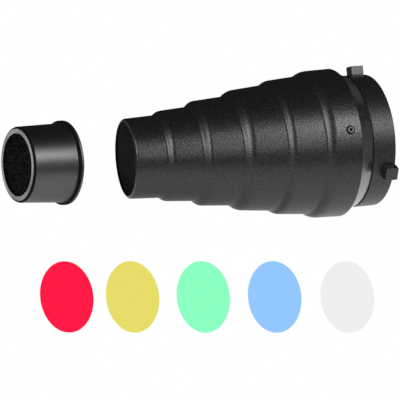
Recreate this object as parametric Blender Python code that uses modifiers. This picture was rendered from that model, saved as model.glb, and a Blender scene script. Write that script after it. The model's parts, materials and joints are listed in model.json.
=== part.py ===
"""Stepped snoot for a studio lamp, with its push-on honeycomb cap and five loose colour discs.

The snoot's axis lies along X at height AXIS_Z, with the mouth towards -X and the bayonet ring towards +X.
The cap stands off in front of the mouth, and the discs stand in a row below. The origin is on the floor,
under the middle of the whole layout. Sizes are in metres.
"""

import math

import bmesh
import bpy
from mathutils import Matrix, Vector

COLLECTION = "snoot"
GAP = 0.0003
MERGE = 0.00001
TURN_STEPS = 48
SMALL_STEPS = 16
STEM_STEPS = 12
DRILL_SIDES = 12
BEND_POINTS = 3

# Layout. The row of discs sets the height of the axis, because the discs' lowest points are at z = 0.
# Its middle is this far behind the mouth, to the +Y side and below the axis.
MOUTH_X = -0.0687
ROW_BACK = 0.0843
ROW_SIDE = 0.0016
ROW_DROP = 0.1509
ROW_YAW = math.radians(-18.8)
ROW_PLACES = (-0.1424, -0.0756, -0.0038, 0.0686, 0.1424)

# Colour discs. Each one faces a common point in front of the row, and leans back a little.
DISC_RADIUS = 0.0364
DISC_THICKNESS = 0.0003
DISC_YAW = math.radians(28.5)
DISC_LEAN = math.radians(8.7)
DISC_FOCUS = 1.52
DISC_SEAT_GAP = 0.0010
AXIS_Z = ROW_DROP + DISC_RADIUS * math.cos(DISC_LEAN) + DISC_THICKNESS / 2 * math.sin(DISC_LEAN)

# Stepped cone. A section is (start, radius there, end, radius there), measured back from the mouth.
CONE_WALL = 0.0012
HEM_RADIUS = 0.0030
CONE_SECTIONS = (
    (HEM_RADIUS, 0.0391, 0.0315, 0.0405),
    (0.0390, 0.0445, 0.0655, 0.0465),
    (0.0735, 0.0518, 0.1045, 0.0543),
    (0.1150, 0.0601, 0.1465, 0.0631),
    (0.1540, 0.0672, 0.1835, 0.0697),
    (0.1940, 0.0742, 0.2180, 0.0750),
)
HEM_POINTS = 4
SHOULDER_POINTS = 2

# Bayonet ring: a collar inside the skirt, a taper behind it, then the band that carries the lugs.
RING_WALL = 0.0018
COLLAR_START = 0.1990
COLLAR_END = 0.2170
TAPER_RADIUS = 0.0660
FACE_AT = 0.2334
BAND_RADIUS = 0.0670
BAND_END = 0.2572
REAR_BORE = 0.0605
RING_BEND = 0.0012

# Lugs on the band. Angles round the axis run from the top towards -Y.
LUG_ANGLES = (-16.0, 104.0, 224.0)
LUG_LENGTH = 0.0133
LUG_WIDTH = 0.0130
LUG_TIP_RADIUS = 0.0760
LUG_EDGE = 0.0006
SCREW_RADIUS = 0.0019
SCREW_HEAD_RADIUS = 0.0036
SCREW_HEAD_HEIGHT = 0.0022
SCREW_HEAD_EDGE = 0.0008
SCREW_DEPTH = 0.0060
LUG_DRILL_START = -0.0020
BAND_DRILL = (-0.0040, 0.0020)

# Blind rivets through the skirt and the collar.
RIVET_ANGLES = (67.5, 187.5, 307.5)
RIVET_AT = 0.2069
RIVET_HEAD_RADIUS = 0.0042
RIVET_HEAD_HEIGHT = 0.0013
RIVET_CROWN_RADIUS = 0.0023
RIVET_SHOULDER = (0.0037, 0.0008)
RIVET_RADIUS = 0.0020
RIVET_BORE = 0.00115
RIVET_TAIL_RADIUS = 0.0029
RIVET_TAIL_LENGTH = 0.0022
RIVET_TAIL_BULGE = 0.0007
RIVET_TAIL_END_RADIUS = 0.0023
RIVET_DRILL = (-0.0060, 0.0030)
STEM_RADIUS = 0.0008
STEM_HEAD_RADIUS = 0.0019
STEM_TIP_RADIUS = 0.0013
STEM_HEAD_LENGTH = 0.0018
HOLE_CLEARANCE = 0.00035

# Honeycomb cap, measured forward from the open end of its lip.
CAP_WALL = 0.00085
CAP_LENGTH = 0.0494
LIP_RADIUS = 0.0402
LIP_LENGTH = 0.0033
LIP_BEND = 0.0009
STEP_TOP = 0.0052
STEP_EASE = (0.0003, 0.0006)
SLEEVE_REAR_RADIUS = 0.03765
SLEEVE_FRONT_RADIUS = 0.0357
CAP_OVERLAP = 0.0036
BEZEL_OPENING = 0.0292
BEZEL_RADIUS = 0.0356
BEZEL_FLANGE = 0.0018
BEZEL_EDGE = 0.0009
BEZEL_FUNNEL = 0.0004
BEZEL_LIP = 0.0007
SPIGOT_LENGTH = 0.0041
TUBE_RADIUS = 0.0329
TUBE_BORE = 0.0311
TUBE_END = 0.0348
GROOVE_DEPTH = 0.0007
GROOVE_AT = (0.0360, 0.0377)
CORE_LENGTH = 0.0101
CELL_PITCH = 0.0066
CELL_WALL = 0.0007
CORE_RIM = 0.0010
WIRE_RADIUS = 0.00055
WIRE_RING_RADIUS = 0.0306
WIRE_GAP_ANGLE = math.radians(40)
WIRE_POINTS = 30

# The cap's swing from its seat on the mouth to where it stands off.
CAP_TURN = math.radians(15.44)
CAP_SIDE = math.radians(20.3)
CAP_SWING_RADIUS = 0.2514


def clear_scene():
    for item in list(bpy.data.objects):
        bpy.data.objects.remove(item, do_unlink=True)


def make_collection(name):
    made = bpy.data.collections.new(name)
    bpy.context.scene.collection.children.link(made)
    return made


def make_material(name, color, roughness, metallic):
    material = bpy.data.materials.new(name)
    material.use_nodes = True
    shader = material.node_tree.nodes["Principled BSDF"]
    shader.inputs["Base Color"].default_value = (*color, 1.0)
    shader.inputs["Roughness"].default_value = roughness
    shader.inputs["Metallic"].default_value = metallic
    material.diffuse_color = (*color, 1.0)
    return material


def place_along(point, forward):
    """A matrix whose Z axis points forward from the point, with its X axis as near to up as it can be."""
    z_axis = Vector(forward).normalized()
    y_axis = z_axis.cross(Vector((0, 0, 1))).normalized()
    x_axis = y_axis.cross(z_axis)
    rotation = Matrix((x_axis, y_axis, z_axis)).transposed().to_4x4()
    return Matrix.Translation(point) @ rotation


def on_axis(distance):
    """The point of the snoot's axis at this distance behind the mouth."""
    return Vector((MOUTH_X + distance, 0, AXIS_Z))


def outward(angle):
    """The unit vector that points away from the axis at this angle from the top towards -Y."""
    return Vector((0, -math.sin(angle), math.cos(angle)))


def radial_place(distance, angle, radius):
    """A frame on a round wall: Z points away from the axis and Y points along it, towards the rear."""
    z_axis = outward(angle)
    y_axis = Vector((1, 0, 0))
    x_axis = y_axis.cross(z_axis)
    rotation = Matrix((x_axis, y_axis, z_axis)).transposed().to_4x4()
    return Matrix.Translation(on_axis(distance) + z_axis * radius) @ rotation


def add_object(name, data, matrix, material, collection, parent=None):
    item = bpy.data.objects.new(name, data)
    collection.objects.link(item)
    item.data.materials.append(material)
    if parent:
        item.parent = parent
        item.matrix_parent_inverse = parent.matrix_world.inverted()
    item.matrix_world = matrix
    return item


def arc_points(centre, radius, start, end, count):
    """Points of an arc in a profile, as (radius, z) pairs. Angles are in degrees from the +radius side."""
    points = []
    for index in range(count):
        angle = math.radians(start + (end - start) * index / (count - 1))
        points.append((centre[0] + radius * math.cos(angle), centre[1] + radius * math.sin(angle)))
    return points


def profile_mesh(name, points, closed):
    vertices = [(radius, 0, z) for radius, z in points]
    edges = [(index, index + 1) for index in range(len(points) - 1)]
    if closed:
        edges.append((len(points) - 1, 0))
    mesh = bpy.data.meshes.new(name)
    mesh.from_pydata(vertices, edges, [])
    return mesh


def turned(name, points, matrix, material, collection, closed=True, wall=0.0, steps=TURN_STEPS, parent=None):
    """A turned piece. An open profile is its outer side, and the wall is added inside it."""
    item = add_object(name, profile_mesh(name, points, closed), matrix, material, collection, parent)
    screw = item.modifiers.new("Turn", "SCREW")
    screw.axis = "Z"
    screw.steps = steps
    screw.render_steps = steps
    screw.use_smooth_shade = True
    screw.use_merge_vertices = True
    screw.merge_threshold = MERGE
    if wall:
        shell = item.modifiers.new("Wall", "SOLIDIFY")
        shell.thickness = wall
        shell.offset = -1
        shell.use_even_offset = True
    return item


def cut(item, cutter):
    boolean = item.modifiers.new("Cut " + cutter.name, "BOOLEAN")
    boolean.operation = "DIFFERENCE"
    boolean.solver = "EXACT"
    boolean.object = cutter


def drill(name, radius, matrix, low, high, cutters):
    """A round cutter along the frame's Z axis, from low to high."""
    mesh = bpy.data.meshes.new(name)
    shape = bmesh.new()
    bmesh.ops.create_cone(
        shape, cap_ends=True, segments=DRILL_SIDES, radius1=radius, radius2=radius, depth=high - low,
        matrix=Matrix.Translation((0, 0, (low + high) / 2)),
    )
    shape.to_mesh(mesh)
    shape.free()
    item = bpy.data.objects.new(name, mesh)
    cutters.objects.link(item)
    item.matrix_world = matrix
    item.hide_render = True
    item.display_type = "WIRE"
    return item


def skirt_radius(distance):
    start, first, end, last = CONE_SECTIONS[-1]
    return first + (last - first) * (distance - start) / (end - start)


def cone_outline():
    """The outer side of the spun shell, from the rolled mouth back to the skirt's edge."""
    first_radius = CONE_SECTIONS[0][1]
    points = arc_points((first_radius - HEM_RADIUS, -HEM_RADIUS), HEM_RADIUS, 90, 0, HEM_POINTS)
    for index, (start, first, end, last) in enumerate(CONE_SECTIONS):
        if index:
            before_end, before_radius = CONE_SECTIONS[index - 1][2:]
            for step in range(1, SHOULDER_POINTS + 1):
                part = step / (SHOULDER_POINTS + 1)
                eased = part * part * (3 - 2 * part)
                distance = before_end + (start - before_end) * part
                points.append((before_radius + (first - before_radius) * eased, -distance))
            points.append((first, -start))
        points.append((last, -end))
    return points


def ring_outline():
    """The outer side of the ring's sheet, from the collar's front edge back to the rear opening."""
    collar_front = skirt_radius(COLLAR_START) - CONE_WALL - GAP
    collar_rear = skirt_radius(COLLAR_END) - CONE_WALL - GAP
    bend = RING_BEND
    points = [(collar_front, -COLLAR_START), (collar_rear, -COLLAR_END), (TAPER_RADIUS, -FACE_AT)]
    points += arc_points((BAND_RADIUS - bend / 2, -FACE_AT - bend / 2), bend / 2, 90, 0, BEND_POINTS)
    points += arc_points((BAND_RADIUS - bend / 2, -BAND_END + bend / 2), bend / 2, 0, -90, BEND_POINTS)
    points.append((REAR_BORE, -BAND_END))
    return points


def rivet_outline(skirt_out):
    """A set blind rivet, head up, with the bore that the mandrel leaves. Z is 0 on the skirt's surface."""
    head_low = GAP
    shoulder_radius, shoulder_rise = RIVET_SHOULDER
    head_top = head_low + RIVET_HEAD_HEIGHT
    inner_wall = -(skirt_out - skirt_radius(RIVET_AT) + CONE_WALL + GAP + RING_WALL + GAP)
    tail_end = inner_wall - RIVET_TAIL_LENGTH
    return [
        (RIVET_BORE, head_top),
        (RIVET_CROWN_RADIUS, head_top),
        (shoulder_radius, head_low + shoulder_rise),
        (RIVET_HEAD_RADIUS, head_low),
        (RIVET_RADIUS, head_low),
        (RIVET_RADIUS, inner_wall),
        (RIVET_TAIL_RADIUS, inner_wall - RIVET_TAIL_BULGE),
        (RIVET_TAIL_END_RADIUS, tail_end),
        (RIVET_BORE, tail_end),
    ], tail_end


def build_cone(collection, cutters, materials):
    matrix = place_along(on_axis(0), (-1, 0, 0))
    cone = turned("snoot_cone", cone_outline(), matrix, materials["coat"], collection, False, CONE_WALL)
    ring = turned("bayonet_ring", ring_outline(), matrix, materials["coat"], collection, False, RING_WALL)
    for number, degrees in enumerate(RIVET_ANGLES, 1):
        build_rivet(number, math.radians(degrees), cone, ring, collection, cutters, materials)
    for number, degrees in enumerate(LUG_ANGLES, 1):
        build_lug(number, math.radians(degrees), ring, collection, cutters, materials)


def build_rivet(number, angle, cone, ring, collection, cutters, materials):
    skirt_out = skirt_radius(RIVET_AT)
    matrix = radial_place(RIVET_AT, angle, skirt_out)
    hole_radius = RIVET_RADIUS + HOLE_CLEARANCE
    for target in (cone, ring):
        name = f"rivet_hole_{number}_{target.name}"
        cut(target, drill(name, hole_radius, matrix, *RIVET_DRILL, cutters))
    outline, tail_end = rivet_outline(skirt_out)
    turned(f"body_rivet_{number}", outline, matrix, materials["rivet"], collection, steps=SMALL_STEPS)
    head_top = tail_end - GAP
    stem = [
        (0, 0),
        (STEM_RADIUS, 0),
        (STEM_RADIUS, head_top),
        (STEM_HEAD_RADIUS, head_top),
        (STEM_TIP_RADIUS, head_top - STEM_HEAD_LENGTH),
        (0, head_top - STEM_HEAD_LENGTH),
    ]
    name = f"rivet_mandrel_{number}"
    turned(name, stem, matrix, materials["steel"], collection, closed=False, steps=STEM_STEPS)


def build_lug(number, angle, ring, collection, cutters, materials):
    base_radius = BAND_RADIUS + GAP
    height = LUG_TIP_RADIUS - base_radius
    middle = BAND_END - LUG_LENGTH / 2
    matrix = radial_place(middle, angle, base_radius)
    mesh = bpy.data.meshes.new(f"bayonet_lug_{number}")
    shape = bmesh.new()
    size = Matrix.Diagonal((LUG_WIDTH, LUG_LENGTH, height, 1))
    bmesh.ops.create_cube(shape, size=1, matrix=Matrix.Translation((0, 0, height / 2)) @ size)
    shape.to_mesh(mesh)
    shape.free()
    lug = add_object(f"bayonet_lug_{number}", mesh, matrix, materials["coat"], collection)
    bevel = lug.modifiers.new("Edges", "BEVEL")
    bevel.width = LUG_EDGE
    bevel.segments = 2
    hole_radius = SCREW_RADIUS + HOLE_CLEARANCE
    hole_end = SCREW_DEPTH + GAP
    cut(lug, drill(f"lug_hole_{number}", hole_radius, matrix, LUG_DRILL_START, hole_end, cutters))
    cut(ring, drill(f"band_hole_{number}", hole_radius, matrix, *BAND_DRILL, cutters))
    head_top = -GAP - RING_WALL - GAP
    head_end = head_top - SCREW_HEAD_HEIGHT
    screw = [
        (0, SCREW_DEPTH),
        (SCREW_RADIUS, SCREW_DEPTH),
        (SCREW_RADIUS, head_top),
        (SCREW_HEAD_RADIUS, head_top),
        (SCREW_HEAD_RADIUS, head_end + SCREW_HEAD_EDGE),
        (SCREW_HEAD_RADIUS - SCREW_HEAD_EDGE, head_end),
        (0, head_end),
    ]
    name = f"lug_screw_{number}"
    turned(name, screw, matrix, materials["steel"], collection, closed=False, steps=SMALL_STEPS)


def cap_swing():
    """The pivot of the cap's swing, and the frame of the cap where it stands off, Z towards its front."""
    seat = on_axis(CAP_OVERLAP)
    side = Vector((0, -math.cos(CAP_SIDE), math.sin(CAP_SIDE)))
    pivot = seat + side * CAP_SWING_RADIUS
    turn = Matrix.Rotation(CAP_TURN, 4, Vector((-1, 0, 0)).cross(side))
    centre = pivot + turn @ (seat - pivot)
    return pivot, place_along(centre, turn @ Vector((-1, 0, 0)))


def sleeve_outline():
    """The outer side of the cap's sleeve, from its front edge back over the step to the open lip."""
    ease_out, ease_back = STEP_EASE
    points = [
        (SLEEVE_FRONT_RADIUS, CAP_LENGTH - BEZEL_FLANGE - GAP),
        (SLEEVE_REAR_RADIUS, STEP_TOP),
        (SLEEVE_REAR_RADIUS + ease_out, STEP_TOP - ease_back),
    ]
    points += arc_points((LIP_RADIUS - LIP_BEND, LIP_LENGTH), LIP_BEND, 90, 0, BEND_POINTS)
    points.append((LIP_RADIUS, 0))
    return points


def bezel_outline():
    """The front ring: a flange on the sleeve's end, a spigot in the sleeve, and the tube for the core."""
    flange_back = CAP_LENGTH - BEZEL_FLANGE
    spigot = SLEEVE_FRONT_RADIUS - CAP_WALL - GAP
    groove_low, groove_high = GROOVE_AT
    groove = TUBE_BORE + GROOVE_DEPTH
    lip_front = CAP_LENGTH - BEZEL_FUNNEL
    lip_back = lip_front - BEZEL_LIP
    points = [(BEZEL_OPENING, lip_front)]
    points += arc_points((BEZEL_RADIUS - BEZEL_EDGE, CAP_LENGTH - BEZEL_EDGE), BEZEL_EDGE, 90, 0, BEND_POINTS)
    points += [
        (BEZEL_RADIUS, flange_back),
        (spigot, flange_back),
        (spigot, flange_back - SPIGOT_LENGTH),
        (TUBE_RADIUS, flange_back - SPIGOT_LENGTH),
        (TUBE_RADIUS, TUBE_END),
        (TUBE_BORE, TUBE_END),
        (TUBE_BORE, groove_low),
        (groove, groove_low),
        (groove, groove_high),
        (TUBE_BORE, groove_high),
        (TUBE_BORE, lip_back),
        (BEZEL_OPENING, lip_back),
    ]
    return points


def poly_spline(curve, points, cyclic):
    spline = curve.splines.new("POLY")
    spline.points.add(len(points) - 1)
    for target, point in zip(spline.points, points):
        target.co = (*point, 1)
    spline.use_cyclic_u = cyclic


def circle_points(centre, radius, count, start=0.0):
    points = []
    for index in range(count):
        angle = start + 2 * math.pi * index / count
        points.append((centre[0] + radius * math.cos(angle), centre[1] + radius * math.sin(angle), 0))
    return points


def cell_centres(limit):
    """Centres of the hexagonal cells that fit wholly inside the limit radius."""
    reach = (CELL_PITCH - CELL_WALL) / math.sqrt(3)
    row_step = CELL_PITCH * math.sqrt(3) / 2
    rows = math.ceil(limit / row_step)
    centres = []
    for row in range(-rows, rows + 1):
        shift = CELL_PITCH / 2 if row % 2 else 0.0
        for column in range(-rows - 1, rows + 2):
            centre = (column * CELL_PITCH + shift, row * row_step)
            if math.hypot(*centre) + reach <= limit:
                centres.append(centre)
    return centres


def build_core(matrix, collection, materials, parent):
    curve = bpy.data.curves.new("honeycomb_core", "CURVE")
    curve.dimensions = "2D"
    curve.fill_mode = "BOTH"
    curve.extrude = CORE_LENGTH / 2
    radius = TUBE_BORE - GAP
    poly_spline(curve, circle_points((0, 0), radius, TURN_STEPS), True)
    reach = (CELL_PITCH - CELL_WALL) / math.sqrt(3)
    for centre in cell_centres(radius - CORE_RIM):
        poly_spline(curve, circle_points(centre, reach, 6, math.pi / 6), True)
    back = CAP_LENGTH - BEZEL_FUNNEL - BEZEL_LIP - GAP - CORE_LENGTH
    middle = Matrix.Translation((0, 0, back + CORE_LENGTH / 2))
    add_object("honeycomb_core", curve, matrix @ middle, materials["core"], collection, parent)


def build_snap_ring(matrix, collection, materials, parent):
    curve = bpy.data.curves.new("core_snap_ring", "CURVE")
    curve.dimensions = "3D"
    curve.bevel_depth = WIRE_RADIUS
    curve.bevel_resolution = 1
    curve.use_fill_caps = True
    points = []
    for index in range(WIRE_POINTS):
        angle = WIRE_GAP_ANGLE / 2 + (2 * math.pi - WIRE_GAP_ANGLE) * index / (WIRE_POINTS - 1)
        points.append((WIRE_RING_RADIUS * math.cos(angle), WIRE_RING_RADIUS * math.sin(angle), 0))
    poly_spline(curve, points, False)
    middle = Matrix.Translation((0, 0, sum(GROOVE_AT) / 2))
    add_object("core_snap_ring", curve, matrix @ middle, materials["steel"], collection, parent)


def build_cap(collection, materials):
    pivot, matrix = cap_swing()
    hinge = bpy.data.objects.new("cap_swing_pivot", None)
    collection.objects.link(hinge)
    hinge.location = pivot
    bpy.context.view_layer.update()
    turned(
        "cap_sleeve", sleeve_outline(), matrix, materials["satin"], collection, False, CAP_WALL, parent=hinge
    )
    turned("cap_bezel", bezel_outline(), matrix, materials["bezel"], collection, parent=hinge)
    build_core(matrix, collection, materials, hinge)
    build_snap_ring(matrix, collection, materials, hinge)


def disc_pose(place):
    """Where a disc stands in the row: its centre and the way it faces."""
    along = Vector((math.cos(ROW_YAW), math.sin(ROW_YAW), 0))
    centre = on_axis(ROW_BACK) + Vector((0, ROW_SIDE, -ROW_DROP)) + along * place
    yaw = DISC_YAW - math.atan(place / DISC_FOCUS)
    level = math.cos(DISC_LEAN)
    facing = Vector((-level * math.cos(yaw), -level * math.sin(yaw), math.sin(DISC_LEAN)))
    return centre, facing


def swing_pivot(centre, facing, seat, seat_facing):
    """The pivot of the one swing that carries a disc from its place in the row to its seat."""
    axis = (facing - seat_facing).cross(seat - centre).normalized()
    start = facing - axis * facing.dot(axis)
    end = seat_facing - axis * seat_facing.dot(axis)
    angle = math.atan2(start.cross(end).dot(axis), start.dot(end))
    chord = seat - centre
    return (seat + centre) / 2 + axis.cross(chord) / (2 * math.tan(angle / 2))


def build_discs(collection, materials):
    names = ("red", "yellow", "green", "blue", "white")
    seat = on_axis(-DISC_SEAT_GAP)
    for name, place in zip(names, ROW_PLACES):
        centre, facing = disc_pose(place)
        curve = bpy.data.curves.new(f"gel_{name}", "CURVE")
        curve.dimensions = "2D"
        curve.fill_mode = "BOTH"
        curve.extrude = DISC_THICKNESS / 2
        poly_spline(curve, circle_points((0, 0), DISC_RADIUS, TURN_STEPS), True)
        hinge = None
        if name == names[0]:
            hinge = bpy.data.objects.new("gel_swing_pivot", None)
            collection.objects.link(hinge)
            hinge.location = swing_pivot(centre, facing, seat, Vector((-1, 0, 0)))
            bpy.context.view_layer.update()
        matrix = place_along(centre, facing)
        add_object(f"gel_{name}", curve, matrix, materials[f"gel_{name}"], collection, hinge)


def build_materials():
    return {
        "coat": make_material("black_powder_coat", (0.012, 0.012, 0.013), 0.5, 0.0),
        "satin": make_material("black_satin", (0.015, 0.015, 0.016), 0.38, 0.0),
        "bezel": make_material("grey_anodised", (0.30, 0.30, 0.31), 0.35, 1.0),
        "core": make_material("black_honeycomb", (0.008, 0.008, 0.009), 0.6, 0.0),
        "rivet": make_material("rivet_black_aluminium", (0.06, 0.06, 0.065), 0.35, 0.6),
        "steel": make_material("zinc_steel", (0.35, 0.35, 0.36), 0.4, 1.0),
        "gel_red": make_material("film_red", (1.0, 0.011, 0.061), 0.25, 0.0),
        "gel_yellow": make_material("film_yellow", (0.79, 0.72, 0.144), 0.25, 0.0),
        "gel_green": make_material("film_green", (0.262, 1.0, 0.533), 0.25, 0.0),
        "gel_blue": make_material("film_blue", (0.292, 0.578, 1.0), 0.25, 0.0),
        "gel_white": make_material("film_white", (0.863, 0.863, 0.863), 0.3, 0.0),
    }


def main():
    clear_scene()
    collection = make_collection(COLLECTION)
    cutters = make_collection("cutters")
    materials = build_materials()
    build_cone(collection, cutters, materials)
    build_cap(collection, materials)
    build_discs(collection, materials)


main()
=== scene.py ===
"""Looks for the stepped snoot kit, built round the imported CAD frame.

Each piece here is the finished version of one CAD node. It takes its place from that node, rides on the
same body, and hides the node. Sizes are in metres.
"""

import json
import math

import bmesh
import bpy
from mathutils import Matrix, Vector

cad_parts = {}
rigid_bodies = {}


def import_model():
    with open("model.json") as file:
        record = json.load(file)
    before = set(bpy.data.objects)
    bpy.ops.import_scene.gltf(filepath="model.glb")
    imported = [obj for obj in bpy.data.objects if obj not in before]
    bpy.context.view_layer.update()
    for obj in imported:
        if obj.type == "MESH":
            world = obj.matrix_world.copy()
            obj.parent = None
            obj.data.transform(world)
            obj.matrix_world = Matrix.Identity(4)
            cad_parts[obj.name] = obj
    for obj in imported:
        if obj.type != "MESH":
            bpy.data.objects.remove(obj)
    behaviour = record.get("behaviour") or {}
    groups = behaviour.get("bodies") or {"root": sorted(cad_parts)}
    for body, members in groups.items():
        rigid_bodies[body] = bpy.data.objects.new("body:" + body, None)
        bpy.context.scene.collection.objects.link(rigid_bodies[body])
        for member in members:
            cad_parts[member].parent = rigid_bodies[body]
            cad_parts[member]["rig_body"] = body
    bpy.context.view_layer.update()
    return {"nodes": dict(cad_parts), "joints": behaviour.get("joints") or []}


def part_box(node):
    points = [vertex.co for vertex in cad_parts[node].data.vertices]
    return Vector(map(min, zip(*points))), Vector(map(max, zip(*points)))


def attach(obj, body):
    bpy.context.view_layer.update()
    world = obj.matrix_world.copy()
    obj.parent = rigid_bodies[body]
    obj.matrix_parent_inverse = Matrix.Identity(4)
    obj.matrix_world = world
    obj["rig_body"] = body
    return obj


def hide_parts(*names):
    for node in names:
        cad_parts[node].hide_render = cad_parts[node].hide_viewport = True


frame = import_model()

# Sizes that all the pieces share. EDGE is the usual small rounding, and points within MERGE become one.
TURN_STEPS = 256
SMALL_STEPS = 48
CORNER_STEPS = 4
ARC_STEP = math.radians(9)
SHARP_ANGLE = math.radians(40)
EDGE = 0.00015
MERGE = 1e-7

# Spun cone. A section is (start, radius there, end, radius there), measured back from the mouth. A
# shoulder climbs at SHOULDER_SLOPE to the next section, with a hollow of radius SHOULDER_FOOT at its foot.
CONE_WALL = 0.0012
HEM_RADIUS = 0.0030
HEM_DEPTH = 0.0032
SECTIONS = (
    (HEM_RADIUS, 0.0391, 0.0315, 0.0405),
    (0.0390, 0.0445, 0.0655, 0.0465),
    (0.0735, 0.0518, 0.1045, 0.0543),
    (0.1150, 0.0601, 0.1465, 0.0631),
    (0.1540, 0.0672, 0.1835, 0.0697),
    (0.1940, 0.0742, 0.2180, 0.0750),
)
SHOULDER_SLOPE = math.radians(42)
SHOULDER_FOOT = 0.0045

# Bayonet ring, measured back from the mouth like the cone. BAND_LINE is the fine line where the taper
# meets the band.
RING_WALL = 0.0018
COLLAR_START = 0.1990
COLLAR_END = 0.2170
TAPER_RADIUS = 0.0660
BAND_LINE = 0.0007
FACE_AT = 0.2334
BAND_RADIUS = 0.0670
BAND_END = 0.2572
REAR_BORE = 0.0605
RING_BEND = 0.0012
BAND_EDGE = 0.0007

# Lugs and their screws. A lug narrows by LUG_FOOT where it meets the band, and is at its full size from
# LUG_FOOT_TOP up.
LUG_ANGLES = (-16.0, 104.0, 224.0)
LUG_LENGTH = 0.0133
LUG_WIDTH = 0.0130
LUG_HEIGHT = 0.0090
LUG_CORNER = 0.0005
LUG_FOOT = 0.0005
LUG_FOOT_TOP = 0.00065
LUG_DRAFT = 0.00012
SCREW_TIP = 0.0054
SCREW_RADIUS = 0.0019
SCREW_HEAD_RADIUS = 0.0036
SCREW_HEAD_HEIGHT = 0.0022
SOCKET_RADIUS = 0.0017
SOCKET_MOUTH_RADIUS = 0.001955
SOCKET_DEPTH = 0.0014

# Blind rivets. The stem is the piece of the mandrel that stays in the rivet.
RIVET_ANGLES = (67.5, 187.5, 307.5)
RIVET_AT = 0.2069
RIVET_HEAD_RADIUS = 0.0044
RIVET_HEAD_HEIGHT = 0.0014
RIVET_FLAT_RADIUS = 0.0029
RIVET_RADIUS = 0.0020
RIVET_BORE = 0.0016
RIVET_GRIP = 0.0036
RIVET_TAIL_RADIUS = 0.0029
RIVET_TAIL_LENGTH = 0.0022
RIVET_TAIL_END_RADIUS = 0.00232
RIVET_BULGE_AT = 0.00077
RIVET_BULGE = 0.00066
STEM_RADIUS = 0.0015
STEM_SINK = 0.0011
STEM_HEAD_LENGTH = 0.0018

# Honeycomb cap, measured forward from the open end of its lip.
CAP_OVERLAP = 0.0036
CAP_LENGTH = 0.0494
CAP_WALL = 0.00085
LIP_RADIUS = 0.0402
LIP_LENGTH = 0.0041
LIP_LINE = 0.0019
LIP_SHOULDER = 0.0009
STEP_FOOT = 0.0049
STEP_HOLLOW = 0.00045
SLEEVE_REAR_RADIUS = 0.03765
SLEEVE_FRONT_RADIUS = 0.0357
SLEEVE_FRONT = 0.0474
BEZEL_OPENING = 0.0292
BEZEL_FACE_RADIUS = 0.0336
BEZEL_RADIUS = 0.0356
BEZEL_FLANGE = 0.0018
BEZEL_SLOPE = 0.00099
BEZEL_SHOULDER = 0.0006
BEZEL_CHAMFER = 0.0005
SPIGOT_RADIUS = 0.0345
SPIGOT_END = 0.0435
TUBE_RADIUS = 0.0329
TUBE_BORE = 0.0311
TUBE_END = 0.0348
BEZEL_LIP_BACK = 0.0483
CORE_FRONT = 0.0480
CORE_LENGTH = 0.0101
CORE_MARGIN = 0.0009
CELL_PITCH = 0.0030
CELL_WALL = 0.0005
CELL_TURN = Matrix.Rotation(math.radians(17), 2)
WIRE_RADIUS = 0.00055
WIRE_RING_RADIUS = 0.0306
WIRE_AT = 0.03685
WIRE_GAP = math.radians(40)

# Colour discs, and the light each film lets through. FILM_PATCHES is how much its strength varies.
DISC_RADIUS = 0.0364
DISC_THICKNESS = 0.0003
DISC_EDGE = 0.00009
FILM_PATCHES = 0.06
FILMS = {
    "red": (1.0, 0.0105, 0.058),
    "yellow": (0.80, 0.725, 0.140),
    "green": (0.262, 1.0, 0.533),
    "blue": (0.290, 0.575, 1.0),
    "white": (0.860, 0.860, 0.860),
}

# Camera, aimed at a point behind the mouth and below the axis.
CAMERA_AZIMUTH = math.radians(-18.78)
CAMERA_ELEVATION = math.radians(15.10)
CAMERA_DISTANCE = 1.492
CAMERA_LENS = 135.0
AIM_BACK = 0.0766
AIM_DROP = 0.0479

# Studio. Reflections see the floor as bright as the product of the FLOOR_STEPS. A step runs outwards from a
# middle point: (the middle's Y, start, end, brightness at the start, brightness at the end). The first is
# the pool of light, and the second is the shade under the object.
FLOOR_RADIUS = 12.0
FLOOR_GAP = 0.0004
FLOOR_STEPS = ((-0.04, 0.35, 0.85, 1.25, 0.10), (0.12, 0.06, 0.30, 0.42, 1.0))
ROOM_LEVEL = 0.02

# Soft lights: name, azimuth and elevation in degrees, distance, width, height, brightness.
SOFTBOXES = (
    ("key", 31, 36, 1.8, 0.50, 0.75, 13.0),
    ("key_low", 13, 19, 1.8, 0.40, 0.50, 5.0),
    ("left", -54, 30, 1.8, 0.80, 1.30, 9.3),
    ("right", 80, 4, 1.8, 1.2, 0.9, 0.14),
    ("rear_left", -140, 6, 1.8, 0.8, 0.6, 0.7),
    ("rear_right", 118, 30, 2.0, 0.9, 0.8, 0.12),
)


# Places, all worked out from the frame.

def place_along(point, forward):
    """A matrix whose Z axis points forward from the point, with its X axis as near to up as it can be."""
    z_axis = Vector(forward).normalized()
    y_axis = z_axis.cross(Vector((0, 0, 1))).normalized()
    x_axis = y_axis.cross(z_axis)
    rotation = Matrix((x_axis, y_axis, z_axis)).transposed().to_4x4()
    return Matrix.Translation(point) @ rotation


def mouth_point():
    low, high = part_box("snoot_cone")
    middle = (low + high) / 2
    return Vector((low.x, middle.y, middle.z))


def radial_place(distance, degrees, radius):
    """A frame on a round wall: Z points away from the axis and Y points to the rear."""
    angle = math.radians(degrees)
    z_axis = Vector((0, -math.sin(angle), math.cos(angle)))
    y_axis = Vector((1, 0, 0))
    x_axis = y_axis.cross(z_axis)
    rotation = Matrix((x_axis, y_axis, z_axis)).transposed().to_4x4()
    return Matrix.Translation(MOUTH + y_axis * distance + z_axis * radius) @ rotation


def cap_place():
    """The cap's frame at rest: its seat on the mouth, swung back by the whole travel of its hinge."""
    joint = next(joint for joint in frame["joints"] if joint["name"] == "cap_swing")
    pivot = Matrix.Translation(joint["pos_m"])
    swing = Matrix.Rotation(-math.radians(joint["range_deg"][1]), 4, Vector(joint["axis"]))
    seated = place_along(MOUTH + Vector((CAP_OVERLAP, 0, 0)), (-1, 0, 0))
    return pivot @ swing @ pivot.inverted() @ seated


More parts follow.
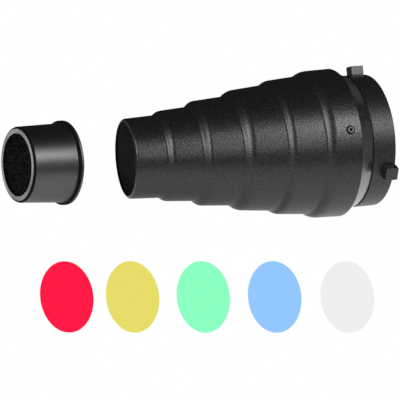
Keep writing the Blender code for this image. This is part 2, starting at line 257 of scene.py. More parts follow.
def disc_place(node):
    """The frame of a colour disc, from the middle of its box and the way its largest face looks."""
    low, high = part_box(node)
    facing = max(frame["nodes"][node].data.polygons, key=lambda face: face.area).normal.copy()
    if facing.y > 0:
        facing.negate()
    return place_along((low + high) / 2, facing)


MOUTH = mouth_point()
BODY = place_along(MOUTH, (-1, 0, 0))
CAP = cap_place()
AIM = MOUTH + Vector((AIM_BACK, 0, -AIM_DROP))


# Outlines, as lists of (radius, z, fillet) corners.

def rounded(corners, closed=True):
    """The points of an outline, with an arc at each corner that has a fillet."""
    points = []
    for index, (radius, z, fillet) in enumerate(corners):
        here = Vector((radius, z))
        if not fillet or (not closed and index in (0, len(corners) - 1)):
            points.append(here)
            continue
        to_before = (Vector(corners[index - 1][:2]) - here).normalized()
        to_after = (Vector(corners[(index + 1) % len(corners)][:2]) - here).normalized()
        half = to_before.angle(to_after) / 2
        centre = here + (to_before + to_after).normalized() * (fillet / math.sin(half))
        start = here + to_before * (fillet / math.tan(half)) - centre
        end = here + to_after * (fillet / math.tan(half)) - centre
        first = math.atan2(start.y, start.x)
        turn = math.remainder(math.atan2(end.y, end.x) - first, 2 * math.pi)
        steps = max(2, math.ceil(abs(turn) / ARC_STEP))
        for step in range(steps + 1):
            angle = first + turn * step / steps
            points.append(centre + Vector((math.cos(angle), math.sin(angle))) * fillet)
    return points


def other_side(corners, wall):
    """The corners of a sheet's other side, one wall to the right of the way the corners run."""
    found = []
    for index, (radius, z, fillet) in enumerate(corners):
        here = Vector((radius, z))
        before = Vector(corners[index - 1][:2]) if index else None
        after = Vector(corners[index + 1][:2]) if index + 1 < len(corners) else None
        first = (here - before).normalized() if before else (after - here).normalized()
        last = (after - here).normalized() if after else first
        first_side = Vector((first.y, -first.x))
        last_side = Vector((last.y, -last.x))
        moved = here + (first_side + last_side) * (wall / (1 + first_side.dot(last_side)))
        turns_right = first.cross(last) < 0
        fillet = max(fillet - wall, EDGE) if turns_right else fillet + wall
        found.append((moved.x, moved.y, fillet))
    return found


def sheet(corners, wall):
    """The closed outline of a bent sheet. The corners run along its outer side."""
    outer = [(*corners[0][:2], EDGE), *corners[1:-1], (*corners[-1][:2], EDGE)]
    inner = other_side(corners, wall)
    inner[0] = (*inner[0][:2], EDGE)
    inner[-1] = (*inner[-1][:2], EDGE)
    return rounded(outer + inner[::-1])


# Meshes and objects.

def ring_point(radius, angle, sides):
    """A point on a circle, or on a polygon whose corners lie on it."""
    if sides:
        half = math.pi / sides
        radius *= math.cos(half) / math.cos((angle % (2 * half)) - half)
    return radius * math.cos(angle), radius * math.sin(angle)


def turned_mesh(name, points, steps, closed, sides=()):
    """Turns an outline about Z. The sides of a point, where given, make its ring a polygon.

    A point on the axis becomes one vertex.
    """
    vertices, rings = [], []
    for index, (radius, z) in enumerate(points):
        if radius < MERGE:
            rings.append([len(vertices)] * steps)
            vertices.append((0, 0, z))
            continue
        rings.append(range(len(vertices), len(vertices) + steps))
        for step in range(steps):
            angle = 2 * math.pi * step / steps
            side = sides[index] if sides else 0
            vertices.append((*ring_point(radius, angle, side), z))
    pairs = list(zip(rings, rings[1:]))
    if closed:
        pairs.append((rings[-1], rings[0]))
    faces = []
    for low, high in pairs:
        for step in range(steps):
            after = (step + 1) % steps
            face = [low[step], low[after], high[after], high[step]]
            faces.append(list(dict.fromkeys(face)))
    mesh = bpy.data.meshes.new(name)
    mesh.from_pydata(vertices, [], [face for face in faces if len(face) > 2])
    return mesh


def smooth(mesh):
    for face in mesh.polygons:
        face.use_smooth = True
    mesh.set_sharp_from_angle(angle=SHARP_ANGLE)


def fix_normals(mesh):
    """Closes the seams and turns every face outwards."""
    shape = bmesh.new()
    shape.from_mesh(mesh)
    bmesh.ops.remove_doubles(shape, verts=shape.verts, dist=MERGE)
    bmesh.ops.recalc_face_normals(shape, faces=shape.faces)
    shape.to_mesh(mesh)
    shape.free()


def add_piece(name, data, matrix, materials, node):
    """Puts a finished piece in place of a CAD node, on the node's own body."""
    item = bpy.data.objects.new(name, data)
    bpy.context.scene.collection.objects.link(item)
    item.matrix_world = matrix
    for material in materials:
        data.materials.append(material)
    if item.type == "MESH":
        fix_normals(data)
        smooth(data)
        normals = item.modifiers.new("Normals", "WEIGHTED_NORMAL")
        normals.keep_sharp = True
    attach(item, frame["nodes"][node]["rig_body"])
    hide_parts(node)
    return item


def turned(name, points, matrix, material, node, steps=TURN_STEPS, closed=True, sides=()):
    mesh = turned_mesh(name, points, steps, closed, sides)
    return add_piece(name, mesh, matrix, [material], node)


# Materials. Object coordinates are used throughout, so a pattern stays with its piece.

RANGE_KEYS = ("From Min", "From Max", "To Min", "To Max")


class Nodes:
    """A material's node tree with short ways to add what every material here needs.

    The colour and roughness given first are the plain ones, which the patterns vary. Noise mostly lies
    between 0.3 and 0.7, so those are the ends of its range below.
    """

    def __init__(self, name, color, roughness, metallic=0.0):
        self.material = bpy.data.materials.new(name)
        self.material.use_nodes = True
        self.tree = self.material.node_tree
        self.shader = self.tree.nodes["Principled BSDF"]
        self.shader.inputs["Base Color"].default_value = (*color, 1.0)
        self.shader.inputs["Roughness"].default_value = roughness
        self.shader.inputs["Metallic"].default_value = metallic
        self.coordinates = self.tree.nodes.new("ShaderNodeTexCoord").outputs["Object"]

    def noise(self, size, detail=2.0, stretch=(1, 1, 1)):
        """Noise whose features are about this size, from 0 to 1."""
        mapping = self.tree.nodes.new("ShaderNodeMapping")
        mapping.inputs["Scale"].default_value = stretch
        self.tree.links.new(self.coordinates, mapping.inputs["Vector"])
        texture = self.tree.nodes.new("ShaderNodeTexNoise")
        texture.inputs["Scale"].default_value = 1 / size
        texture.inputs["Detail"].default_value = detail
        self.tree.links.new(mapping.outputs["Vector"], texture.inputs["Vector"])
        return texture.outputs["Fac"]

    def ranged(self, value, low, high, start=0.3, end=0.7):
        """The value's start to end stretched over low to high."""
        node = self.tree.nodes.new("ShaderNodeMapRange")
        for key, number in zip(RANGE_KEYS, (start, end, low, high)):
            node.inputs[key].default_value = number
        self.tree.links.new(value, node.inputs["Value"])
        return node.outputs["Result"]

    def colors(self, value, low, high, start=0.3, end=0.7):
        """A colour from low to high, as the value goes from start to end."""
        ramp = self.tree.nodes.new("ShaderNodeValToRGB")
        first, last = ramp.color_ramp.elements
        first.position, first.color = start, (*low, 1)
        last.position, last.color = end, (*high, 1)
        self.tree.links.new(value, ramp.inputs["Fac"])
        return ramp.outputs["Color"]

    def bump(self, value, distance, strength=1.0):
        """Raises the surface with the value, by up to this distance."""
        node = self.tree.nodes.new("ShaderNodeBump")
        node.inputs["Distance"].default_value = distance
        node.inputs["Strength"].default_value = strength
        self.tree.links.new(value, node.inputs["Height"])
        self.tree.links.new(node.outputs["Normal"], self.shader.inputs["Normal"])

    def drive(self, key, value):
        self.tree.links.new(value, self.shader.inputs[key])


def grey(level):
    """A grey with a trace of blue."""
    return (level, level, level * 1.03)


def powder_coat(name, roughness):
    """Black powder coat: a fine sandy grain, with flatter and glossier specks."""
    nodes = Nodes(name, grey(0.006), roughness)
    grain = nodes.noise(0.0013, 1.0)
    specks = nodes.noise(0.0009, 0.0)
    nodes.drive("Base Color", nodes.colors(grain, grey(0.002), grey(0.011)))
    nodes.drive("Roughness", nodes.ranged(grain, roughness - 0.05, roughness + 0.05))
    nodes.drive("Specular IOR Level", nodes.ranged(specks, 0.35, 0.65))
    nodes.bump(grain, 0.0003, 0.4)
    return nodes.material


def lug_paint():
    """Glossy black paint on the cast lugs."""
    nodes = Nodes("lug_paint", grey(0.006), 0.24)
    grain = nodes.noise(0.0012, 1.0)
    nodes.drive("Base Color", nodes.colors(grain, grey(0.003), grey(0.010)))
    nodes.drive("Roughness", nodes.ranged(grain, 0.20, 0.28))
    nodes.bump(grain, 0.00004, 0.3)
    return nodes.material


def inner_coat_painted_light():
    """The coat inside the cone: rougher than the outside, and painted greyer as painted light for the light
    that reaches inside.
    """
    nodes = Nodes("inner_coat_painted_light", grey(0.018), 0.5)
    grain = nodes.noise(0.0016, 3.0)
    nodes.drive("Base Color", nodes.colors(grain, grey(0.013), grey(0.024)))
    nodes.drive("Roughness", nodes.ranged(grain, 0.44, 0.58))
    nodes.bump(grain, 0.0002, 0.5)
    return nodes.material


def satin_black():
    """Turned black satin: smooth, with faint marks round the axis."""
    nodes = Nodes("satin_black", grey(0.002), 0.38)
    marks = nodes.noise(0.004, 3.0, stretch=(1, 1, 12))
    nodes.drive("Base Color", nodes.colors(marks, grey(0.001), grey(0.003)))
    nodes.drive("Roughness", nodes.ranged(marks, 0.36, 0.40))
    nodes.shader.inputs["IOR"].default_value = 1.8
    nodes.bump(nodes.noise(0.0009), 0.00002, 0.4)
    return nodes.material


def matt_black_painted_shade():
    """Matt black: the bezel's own black, and painted shade on the cap's step, in the rivets' holes and
    round their heads.
    """
    nodes = Nodes("matt_black_painted_shade", grey(0.003), 0.6)
    nodes.shader.inputs["Specular IOR Level"].default_value = 0.04
    dust = nodes.noise(0.0012, 3.0)
    nodes.drive("Base Color", nodes.colors(dust, grey(0.002), grey(0.005)))
    nodes.drive("Roughness", nodes.ranged(dust, 0.5, 0.7))
    nodes.bump(dust, 0.00003, 0.4)
    return nodes.material


def machined_face():
    """The cap's bare front face. Its shine is stretched by fine circles round the axis."""
    nodes = Nodes("machined_face", grey(0.90), 0.34, 1.0)
    turning = nodes.noise(0.0016, 2.0)
    nodes.drive("Base Color", nodes.colors(turning, grey(0.84), grey(0.95)))
    nodes.drive("Roughness", nodes.ranged(turning, 0.28, 0.42))
    nodes.bump(nodes.noise(0.0005), 0.00002, 0.3)
    tangent = nodes.tree.nodes.new("ShaderNodeTangent")
    tangent.direction_type = "RADIAL"
    tangent.axis = "Z"
    nodes.drive("Tangent", tangent.outputs["Tangent"])
    nodes.shader.inputs["Anisotropic"].default_value = 0.7
    return nodes.material


def smooth_metal():
    """The ring's taper, where the thin coat lies over smooth turned metal."""
    nodes = Nodes("smooth_metal", grey(0.22), 0.30, 1.0)
    clouds = nodes.noise(0.005, 3.0)
    nodes.drive("Base Color", nodes.colors(clouds, grey(0.20), grey(0.25)))
    nodes.drive("Roughness", nodes.ranged(clouds, 0.27, 0.33))
    nodes.bump(nodes.noise(0.0007), 0.00001, 0.3)
    return nodes.material


def honeycomb_black():
    """Matt black foil, a little lighter and glossier in patches."""
    nodes = Nodes("honeycomb_black", grey(0.010), 0.45)
    nodes.shader.inputs["Specular IOR Level"].default_value = 0.08
    patches = nodes.noise(0.0022, 1.0)
    nodes.drive("Base Color", nodes.colors(patches, grey(0.0), grey(0.011), 0.45, 0.60))
    nodes.drive("Roughness", nodes.ranged(patches, 0.75, 0.45))
    nodes.bump(nodes.noise(0.0008), 0.00003, 0.5)
    return nodes.material


def rivet_black():
    """Black rivet paint, smoother than the coat round it."""
    nodes = Nodes("rivet_black", grey(0.02), 0.34)
    wear = nodes.noise(0.0007, 2.0)
    nodes.drive("Base Color", nodes.colors(wear, grey(0.010), grey(0.035)))
    nodes.drive("Roughness", nodes.ranged(wear, 0.28, 0.42))
    return nodes.material


def zinc_steel():
    """Zinc-plated steel with cloudy plating."""
    nodes = Nodes("zinc_steel", grey(0.45), 0.35, 1.0)
    clouds = nodes.noise(0.0016, 3.0)
    nodes.drive("Base Color", nodes.colors(clouds, grey(0.34), grey(0.56)))
    nodes.drive("Roughness", nodes.ranged(clouds, 0.26, 0.46))
    nodes.bump(nodes.noise(0.0004), 0.00002, 0.3)
    return nodes.material


def film(name, color):
    """Coloured lighting film: it tints what is behind it, and is a little stronger in patches."""
    nodes = Nodes("film_" + name, color, 0.0)
    grain = nodes.noise(0.0022, 3.0)
    deep = [channel ** (1 + FILM_PATCHES) for channel in color]
    pale = [channel ** (1 - FILM_PATCHES) for channel in color]
    nodes.drive("Base Color", nodes.colors(grain, deep, pale))
    nodes.shader.inputs["Transmission Weight"].default_value = 1.0
    nodes.shader.inputs["IOR"].default_value = 1.02
    return nodes.material


# The snoot's own pieces.

def cone_corners():
    """The outer side of the spun cone, from the rolled mouth to the skirt's edge."""
    start, first, end, last = SECTIONS[0]
    nose = first - (last - first) / (end - start) * start
    corners = [(first - HEM_DEPTH, 0, EDGE), (nose, 0, HEM_RADIUS)]
    for before, section in zip(SECTIONS, SECTIONS[1:]):
        foot_at, foot_radius = before[2:]
        start, first, end, last = section
        taper = (last - first) / (end - start)
        rise = first - taper * (start - foot_at) - foot_radius
        run = rise / (math.tan(SHOULDER_SLOPE) - taper)
        top_at = foot_at + run
        top_radius = foot_radius + run * math.tan(SHOULDER_SLOPE)
        half_turn = (SHOULDER_SLOPE - math.atan(taper)) / 2
        reach = (start - top_at) / math.cos(math.atan(taper))
        corners.append((foot_radius, -foot_at, SHOULDER_FOOT))
        corners.append((top_radius, -top_at, reach / math.tan(half_turn)))
    corners.append((SECTIONS[-1][3], -SECTIONS[-1][2], EDGE))
    return corners


def skirt_radius(distance):
    start, first, end, last = SECTIONS[-1]
    return first + (last - first) * (distance - start) / (end - start)


def ring_corners():
    """The ring's outer side, from the collar inside the skirt to the turned-in rear lip."""
    collar = skirt_radius(COLLAR_END) - CONE_WALL
    return [
        (skirt_radius(COLLAR_START) - CONE_WALL, -COLLAR_START, EDGE),
        (collar, -COLLAR_END, RING_BEND),
        (TAPER_RADIUS, -FACE_AT, EDGE),
        (TAPER_RADIUS - BAND_LINE, -FACE_AT - BAND_LINE / 2, EDGE / 2),
        (BAND_RADIUS, -FACE_AT - BAND_LINE, BAND_EDGE),
        (BAND_RADIUS, -BAND_END, BAND_EDGE),
        (REAR_BORE, -BAND_END, EDGE),
    ]


def repaint(item, chosen):
    """Gives the second material of a turned piece to the faces chosen by radius, z and outward lean."""
    for face in item.data.polygons:
        radius = math.hypot(face.center.x, face.center.y)
        outward = (face.normal.x * face.center.x + face.normal.y * face.center.y) / radius
        if chosen(radius, face.center.z, outward):
            face.material_index = 1


def build_spun_cone(coat, inner):
    mesh = turned_mesh("spun_cone", sheet(cone_corners(), CONE_WALL), TURN_STEPS, True)
    item = add_piece("spun_cone", mesh, BODY, [coat, inner], "snoot_cone")
    # The inside faces get the inner coat, painted greyer as painted light.
    repaint(item, lambda radius, z, outward: z < -HEM_RADIUS and outward < 0)


def build_ring(coat, metal):
    mesh = turned_mesh("lamp_ring", sheet(ring_corners(), RING_WALL), TURN_STEPS, True)
    item = add_piece("lamp_ring", mesh, BODY, [coat, metal], "bayonet_ring")
    repaint(item, lambda radius, z, outward: -FACE_AT < z < -COLLAR_END and outward > 0)


def build_body(coat, rivet_looks, steel):
    build_spun_cone(coat, inner_coat_painted_light())
    build_ring(powder_coat("ring_coat_black", 0.43), smooth_metal())
    paint = lug_paint()
    for number, degrees in enumerate(LUG_ANGLES, 1):
        matrix = radial_place(BAND_END - LUG_LENGTH / 2, degrees, BAND_RADIUS)
        build_lug(number, matrix, paint)
        build_screw(number, matrix, steel)
    for number, degrees in enumerate(RIVET_ANGLES, 1):
        matrix = radial_place(RIVET_AT, degrees, skirt_radius(RIVET_AT))
        build_rivet(number, matrix, *rivet_looks)


def rounded_rectangle(half_x, half_y, corner):
    """A loop of points in the XY plane, with the same number at each corner."""
    points = []
    for turn, (side_x, side_y) in enumerate(((1, 1), (-1, 1), (-1, -1), (1, -1))):
        centre = ((half_x - corner) * side_x, (half_y - corner) * side_y)
        for step in range(CORNER_STEPS + 1):
            angle = math.pi / 2 * (turn + step / CORNER_STEPS)
            points.append((centre[0] + corner * math.cos(angle), centre[1] + corner * math.sin(angle)))
    return points


def lofted_mesh(name, loops):
    """A closed solid through loops of points that all have the same count. A loop is (points, z)."""
    count = len(loops[0][0])
    vertices = [(*point, z) for points, z in loops for point in points]
    faces = [list(range(count))[::-1]]
    for low in range(0, len(vertices) - count, count):
        for step in range(count):
            after = (step + 1) % count
            faces.append([low + step, low + after, low + count + after, low + count + step])
    faces.append(list(range(len(vertices) - count, len(vertices))))
    mesh = bpy.data.meshes.new(name)
    mesh.from_pydata(vertices, [], faces)
    return mesh


def build_lug(number, matrix, paint):
    """A cast block with rounded edges and a little draft, on a narrower foot that leaves a dark line.

    A loop is (height above the band, growth of the outline there).
    """
    loops = [(-LUG_FOOT, -LUG_FOOT), (LUG_FOOT, -LUG_FOOT), (LUG_FOOT_TOP, 0.0)]
    for step in range(CORNER_STEPS + 1):
        angle = math.pi / 2 * step / CORNER_STEPS
        z = LUG_HEIGHT - LUG_CORNER * (1 - math.sin(angle))
        loops.append((z, -LUG_DRAFT - LUG_CORNER * (1 - math.cos(angle))))
    sections = []
    for z, grow in loops:
        corner = max(LUG_CORNER + grow, EDGE)
        sections.append((rounded_rectangle(LUG_WIDTH / 2 + grow, LUG_LENGTH / 2 + grow, corner), z))
    mesh = lofted_mesh(f"lug_{number}", sections)
    add_piece(f"lug_{number}", mesh, matrix, [paint], f"bayonet_lug_{number}")


def build_screw(number, matrix, steel):
    """A cap screw with a hexagon socket, whose head sits inside the band."""
    head_top = -RING_WALL
    head_end = head_top - SCREW_HEAD_HEIGHT
    outer = rounded([
        (0, SCREW_TIP, 0),
        (SCREW_RADIUS, SCREW_TIP, EDGE),
        (SCREW_RADIUS, head_top, 0),
        (SCREW_HEAD_RADIUS, head_top, EDGE),
        (SCREW_HEAD_RADIUS, head_end, EDGE * 3),
        (SOCKET_MOUTH_RADIUS, head_end, 0),
    ], closed=False)
    socket = [
        Vector((SOCKET_RADIUS, head_end + EDGE)),
        Vector((SOCKET_RADIUS, head_end + SOCKET_DEPTH)),
        Vector((0, head_end + SOCKET_DEPTH)),
    ]
    sides = [0] * len(outer) + [6] * len(socket)
    turned(
        f"screw_{number}", outer + socket, matrix, steel, f"lug_screw_{number}",
        steps=SMALL_STEPS, closed=False, sides=sides,
    )


def build_rivet(number, matrix, paint, dull_black_and_shade):
    """A set blind rivet: a coned head with a flat crown, and the bulb that holds it inside."""
    tail_end = -RIVET_GRIP - RIVET_TAIL_LENGTH
    outline = rounded([
        (RIVET_BORE, RIVET_HEAD_HEIGHT, EDGE),
        (RIVET_FLAT_RADIUS, RIVET_HEAD_HEIGHT, EDGE * 2),
        (RIVET_HEAD_RADIUS, EDGE * 2, EDGE),
        (RIVET_HEAD_RADIUS, -EDGE, 0),
        (RIVET_RADIUS, -EDGE, 0),
        (RIVET_RADIUS, -RIVET_GRIP, EDGE),
        (RIVET_TAIL_RADIUS, -RIVET_GRIP - RIVET_BULGE_AT, RIVET_BULGE),
        (RIVET_TAIL_END_RADIUS, tail_end, EDGE),
        (RIVET_BORE, tail_end, EDGE),
    ])
    mesh = turned_mesh(f"rivet_{number}", outline, SMALL_STEPS, True)
    item = add_piece(f"rivet_{number}", mesh, matrix, [paint, dull_black_and_shade], f"body_rivet_{number}")
    # The bore, the coned rim and the underside get the matt black: painted shade for the dark hole and the
    # shadow round the head.
    crown = RIVET_HEAD_HEIGHT - EDGE
    repaint(item, lambda radius, z, outward: radius < RIVET_BORE + EDGE / 2 or z < crown)
    stem_top = RIVET_HEAD_HEIGHT - STEM_SINK
    stem = rounded([
        (0, stem_top, 0),
        (STEM_RADIUS, stem_top, EDGE),
        (STEM_RADIUS, tail_end, EDGE),
        (RIVET_RADIUS, tail_end, EDGE),
        (STEM_RADIUS, tail_end - STEM_HEAD_LENGTH, EDGE * 3),
        (0, tail_end - STEM_HEAD_LENGTH, 0),
    ], closed=False)
    # The stem gets the matt black too, as painted shade that keeps the hole dark.
    turned(
        f"mandrel_{number}", stem, matrix, dull_black_and_shade, f"rivet_mandrel_{number}",
        steps=SMALL_STEPS // 2, closed=False,
    )


# The cap.

def sleeve_outline():
    """The sleeve from its front edge back over the step to the open lip, with a fine line round the lip."""
    plain = [
        (SLEEVE_FRONT_RADIUS, SLEEVE_FRONT, EDGE),
        (SLEEVE_REAR_RADIUS, STEP_FOOT, STEP_HOLLOW),
        (LIP_RADIUS, LIP_LENGTH, LIP_SHOULDER),
        (LIP_RADIUS, 0, EDGE),
    ]
    inner = other_side(plain, CAP_WALL)
    inner[0] = (*inner[0][:2], EDGE)
    inner[-1] = (*inner[-1][:2], EDGE)
    line = [
        (LIP_RADIUS, LIP_LINE + EDGE * 2, EDGE),
        (LIP_RADIUS - EDGE * 2, LIP_LINE, EDGE / 2),
        (LIP_RADIUS, LIP_LINE - EDGE * 2, EDGE),
    ]
    return rounded(plain[:3] + line + plain[3:] + inner[::-1])


def bezel_outline():
    """The front ring, with a flat machined face, a sloped shoulder, and a tube that holds the grid."""
    flange_back = CAP_LENGTH - BEZEL_FLANGE
    return rounded([
        (BEZEL_OPENING, CAP_LENGTH - BEZEL_CHAMFER, 0),
        (BEZEL_OPENING + BEZEL_CHAMFER, CAP_LENGTH, EDGE / 2),
        (BEZEL_FACE_RADIUS, CAP_LENGTH, EDGE),
        (BEZEL_RADIUS - EDGE * 2, CAP_LENGTH - BEZEL_SLOPE, BEZEL_SHOULDER),
        (BEZEL_RADIUS, flange_back, EDGE),
        (SPIGOT_RADIUS, flange_back, 0),
        (SPIGOT_RADIUS, SPIGOT_END, EDGE),
        (TUBE_RADIUS, SPIGOT_END, EDGE),
        (TUBE_RADIUS, TUBE_END, EDGE),
        (TUBE_BORE, TUBE_END, EDGE),
        (TUBE_BORE, BEZEL_LIP_BACK, 0),
        (BEZEL_OPENING, BEZEL_LIP_BACK, 0),
    ])


def build_bezel(dull_black_and_shade, bare):
    mesh = turned_mesh("bezel", bezel_outline(), TURN_STEPS, True)
    item = add_piece("bezel", mesh, CAP, [dull_black_and_shade, bare], "cap_bezel")
    front = CAP_LENGTH - EDGE / 2
    repaint(item, lambda radius, z, outward: z > front and radius < BEZEL_FACE_RADIUS)


def kept_cells(limit):
    """Centres of the hexagonal cells whose middle is inside the limit radius."""
    row_step = CELL_PITCH * math.sqrt(3) / 2
    rows = math.ceil(limit / row_step)
    centres = []
    for row in range(-rows, rows + 1):
        shift = CELL_PITCH / 2 if row % 2 else 0.0
        for column in range(-rows - 1, rows + 2):
            centre = (column * CELL_PITCH + shift, row * row_step)
            if math.hypot(*centre) < limit:
                centres.append(centre)
    return centres


def core_mesh():
    """Open hexagonal cells that share their walls, with the outermost corners moved to the tube's bore.

    Neighbouring cells share a corner's key, and an edge that only one cell uses is on the border.
    """
    corner_at, cells, uses = {}, [], {}
    reach = CELL_PITCH / math.sqrt(3)
    for centre in kept_cells(TUBE_BORE - CORE_MARGIN):
        cell = []
        for corner in range(6):
            angle = math.pi / 6 + math.pi / 3 * corner
            point = Vector((centre[0] + reach * math.cos(angle), centre[1] + reach * math.sin(angle)))
            key = (round(point[0] / EDGE), round(point[1] / EDGE))
            corner_at.setdefault(key, CELL_TURN @ point)
            cell.append(key)
        cells.append(cell)
        for first, last in zip(cell, cell[1:] + cell[:1]):
            edge = frozenset((first, last))
            uses[edge] = uses.get(edge, 0) + 1
    border = {key for edge, count in uses.items() if count == 1 for key in edge}
    for key in border:
        corner_at[key] = corner_at[key].normalized() * (TUBE_BORE - EDGE)
    vertices, faces, shared = [], [], {}

    def shared_vertex(key, z):
        if (key, z) not in shared:
            shared[key, z] = len(vertices)
            vertices.append((*corner_at[key], z))
        return shared[key, z]

    front, back = CORE_FRONT, CORE_FRONT - CORE_LENGTH
    for cell in cells:
        middle = sum((corner_at[key] for key in cell), Vector((0, 0))) / 6
        inner = []
        for key in cell:
            offset = corner_at[key] - middle
            inner.append(middle + offset * (1 - CELL_WALL / CELL_PITCH))
        low = len(vertices)
        vertices += [(*point, back) for point in inner]
        vertices += [(*point, front) for point in inner]
        for step in range(6):
            after = (step + 1) % 6
            faces.append([low + step, low + after, low + 6 + after, low + 6 + step])
            for z, start in ((back, low), (front, low + 6)):
                outer = [shared_vertex(cell[step], z), shared_vertex(cell[after], z)]
                faces.append([*outer, start + after, start + step])
            if uses[frozenset((cell[step], cell[after]))] == 1:
                wall = [shared_vertex(cell[step], back), shared_vertex(cell[after], back)]
                wall += [shared_vertex(cell[after], front), shared_vertex(cell[step], front)]
                faces.append(wall)
    mesh = bpy.data.meshes.new("grid")
    mesh.from_pydata(vertices, [], faces)
    return mesh


def build_snap_ring(steel):
    curve = bpy.data.curves.new("snap_ring", "CURVE")
    curve.dimensions = "3D"
    curve.bevel_depth = WIRE_RADIUS
    curve.bevel_resolution = 5
    curve.use_fill_caps = True
    count = SMALL_STEPS * 2
    spline = curve.splines.new("POLY")
    spline.points.add(count)
    for index, point in enumerate(spline.points):
        angle = WIRE_GAP / 2 + (2 * math.pi - WIRE_GAP) * index / count
        point.co = (WIRE_RING_RADIUS * math.cos(angle), WIRE_RING_RADIUS * math.sin(angle), WIRE_AT, 1)
    add_piece("snap_ring", curve, CAP, [steel], "core_snap_ring")


def build_sleeve(satin, dull_black_and_shade):
    mesh = turned_mesh("sleeve", sleeve_outline(), TURN_STEPS, True)
    item = add_piece("sleeve", mesh, CAP, [satin, dull_black_and_shade], "cap_sleeve")
    # The lip in front of its fine line and the step get the matt black: painted shade along the step.
    step_low = SLEEVE_REAR_RADIUS + EDGE
    repaint(item, lambda radius, z, outward: LIP_LINE < z < STEP_FOOT + EDGE and radius > step_low)


def build_cap(satin, dull_black_and_shade, bare, foil, steel):
    build_sleeve(satin, dull_black_and_shade)
    build_bezel(dull_black_and_shade, bare)
    add_piece("grid", core_mesh(), CAP, [foil], "honeycomb_core")
    build_snap_ring(steel)


def build_films():
    half = DISC_THICKNESS / 2
    outline = rounded([
        (0, half, 0),
        (DISC_RADIUS, half, DISC_EDGE),
        (DISC_RADIUS, -half, DISC_EDGE),
        (0, -half, 0),
    ], closed=False)
    for name, color in FILMS.items():
        node = "gel_" + name
        place = disc_place(node)
        item = turned(
            "colour_film_" + name, outline, place, film(name, color), node, closed=False
        )
        # The films give the black pieces no coloured reflections.
        item.visible_glossy = False


# Studio.

def build_floor():
    """A plain floor that is white to the camera. What reflects it sees a pool of light instead."""
    mesh = turned_mesh("floor", [Vector((0, 0)), Vector((FLOOR_RADIUS, 0))], SMALL_STEPS * 2, False)
    item = bpy.data.objects.new("floor", mesh)
    bpy.context.scene.collection.objects.link(item)
    item.location.z = -FLOOR_GAP
    material = bpy.data.materials.new("floor_white")
    material.use_nodes = True
    tree = material.node_tree
    tree.nodes.clear()
    output = tree.nodes.new("ShaderNodeOutputMaterial")
    glow = tree.nodes.new("ShaderNodeEmission")
    coordinates = tree.nodes.new("ShaderNodeTexCoord")
    steps = []
    for middle_y, *numbers in FLOOR_STEPS:
        length = tree.nodes.new("ShaderNodeVectorMath")
        length.operation = "DISTANCE"
        length.inputs[1].default_value = (0, middle_y, 0)
        tree.links.new(coordinates.outputs["Object"], length.inputs[0])
        step = tree.nodes.new("ShaderNodeMapRange")
        step.interpolation_type = "SMOOTHSTEP"
        for key, number in zip(RANGE_KEYS, numbers):
            step.inputs[key].default_value = number
        tree.links.new(length.outputs["Value"], step.inputs["Value"])
        steps.append(step.outputs["Result"])
    pool = tree.nodes.new("ShaderNodeMath")
    pool.operation = "MULTIPLY"
    tree.links.new(steps[0], pool.inputs[0])
    tree.links.new(steps[1], pool.inputs[1])
    mix = tree.nodes.new("ShaderNodeMix")
    factor, _, pool_level, white_level = mix.inputs[:4]
    white_level.default_value = 1.0
    tree.links.new(seen_white(tree), factor)
    tree.links.new(pool.outputs["Value"], pool_level)
    tree.links.new(mix.outputs[0], glow.inputs["Strength"])
    tree.links.new(glow.outputs["Emission"], output.inputs["Surface"])
    mesh.materials.append(material)


def seen_white(tree):
    """1 for what the camera sees directly or through a film, and 0 for reflections."""
    path = tree.nodes.new("ShaderNodeLightPath")
    either = tree.nodes.new("ShaderNodeMath")
    either.operation = "MAXIMUM"
    tree.links.new(path.outputs["Is Camera Ray"], either.inputs[0])
    tree.links.new(path.outputs["Is Transmission Ray"], either.inputs[1])
    return either.outputs["Value"]


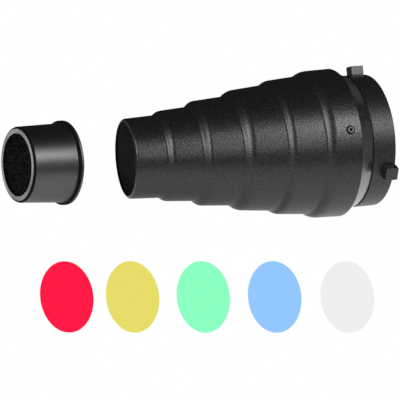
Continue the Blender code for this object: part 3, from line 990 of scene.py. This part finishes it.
def build_world():
    """White behind everything the camera sees. Reflections see a dim room instead."""
    world = bpy.data.worlds.new("studio")
    bpy.context.scene.world = world
    world.use_nodes = True
    tree = world.node_tree
    background = tree.nodes["Background"]
    mix = tree.nodes.new("ShaderNodeMix")
    mix.data_type = "RGBA"
    colors = [socket for socket in mix.inputs if socket.type == "RGBA"]
    colors[0].default_value = (ROOM_LEVEL, ROOM_LEVEL, ROOM_LEVEL, 1)
    colors[1].default_value = (1, 1, 1, 1)
    result = next(socket for socket in mix.outputs if socket.type == "RGBA")
    tree.links.new(seen_white(tree), mix.inputs[0])
    tree.links.new(result, background.inputs["Color"])


def from_azimuth(azimuth, elevation):
    """The direction towards a light or a camera. Azimuth 0 is the -Y side and grows towards +X."""
    level = math.cos(elevation)
    return Vector((math.sin(azimuth) * level, -math.cos(azimuth) * level, math.sin(elevation)))


def build_softbox(name, azimuth, elevation, distance, width, height, level):
    """A soft light that faces the middle of the object, with this brightness over its whole face."""
    light = bpy.data.lights.new(name, "AREA")
    light.shape = "RECTANGLE"
    light.size = width
    light.size_y = height
    # The face of an area light is as bright as its power over pi times its area.
    light.energy = level * math.pi * width * height
    item = bpy.data.objects.new(name, light)
    bpy.context.scene.collection.objects.link(item)
    towards = from_azimuth(math.radians(azimuth), math.radians(elevation))
    item.location = AIM + towards * distance
    item.rotation_mode = "QUATERNION"
    item.rotation_quaternion = (-towards).to_track_quat("-Z", "Y")
    item.visible_camera = False


def build_camera():
    camera = bpy.data.objects.new("camera", bpy.data.cameras.new("camera"))
    bpy.context.scene.collection.objects.link(camera)
    camera.data.lens = CAMERA_LENS
    towards = from_azimuth(CAMERA_AZIMUTH, CAMERA_ELEVATION)
    camera.location = AIM + towards * CAMERA_DISTANCE
    camera.rotation_mode = "QUATERNION"
    camera.rotation_quaternion = (-towards).to_track_quat("-Z", "Y")
    bpy.context.scene.camera = camera


coat = powder_coat("powder_coat_black", 0.36)
satin = satin_black()
dull_black_and_shade = matt_black_painted_shade()
steel = zinc_steel()
build_body(coat, [rivet_black(), dull_black_and_shade], steel)
build_cap(satin, dull_black_and_shade, machined_face(), honeycomb_black(), steel)
build_films()
build_floor()
build_world()
for softbox in SOFTBOXES:
    build_softbox(*softbox)
build_camera()
bpy.context.scene.view_settings.view_transform = "Standard"
